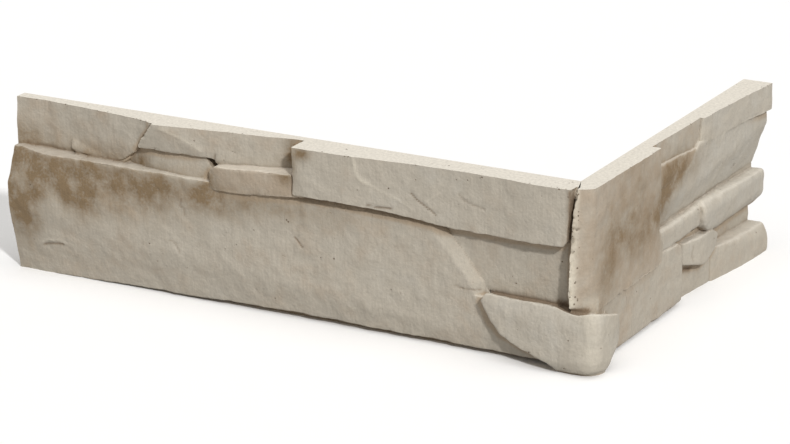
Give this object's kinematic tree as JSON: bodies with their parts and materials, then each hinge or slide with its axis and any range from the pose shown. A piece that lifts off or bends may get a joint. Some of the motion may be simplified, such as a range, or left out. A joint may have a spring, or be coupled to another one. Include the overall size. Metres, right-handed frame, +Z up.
{
  "type": "stone cladding corner piece",
  "caption": "L-shaped cast stone cladding piece for an outside wall corner, with a ledgestone relief on both legs and flat backs",
  "frame": {"origin": "the inner back arris at the bed, where the two flat backs meet: the foot of the wall's outside corner", "axes": "+Z up; long leg runs along -X with its back on y = 0 and its face towards -Y; short leg runs along +Y with its back on x = 0 and its face towards +X"},
  "size_m": [0.367, 0.235, 0.1],
  "materials": {
    "cast_stone": "matt, fine-grained, with pale head surfaces and brown stains"
  },
  "bodies": {
    "root": {"cladding_corner": "cast_stone"}
  },
  "joints": []
}
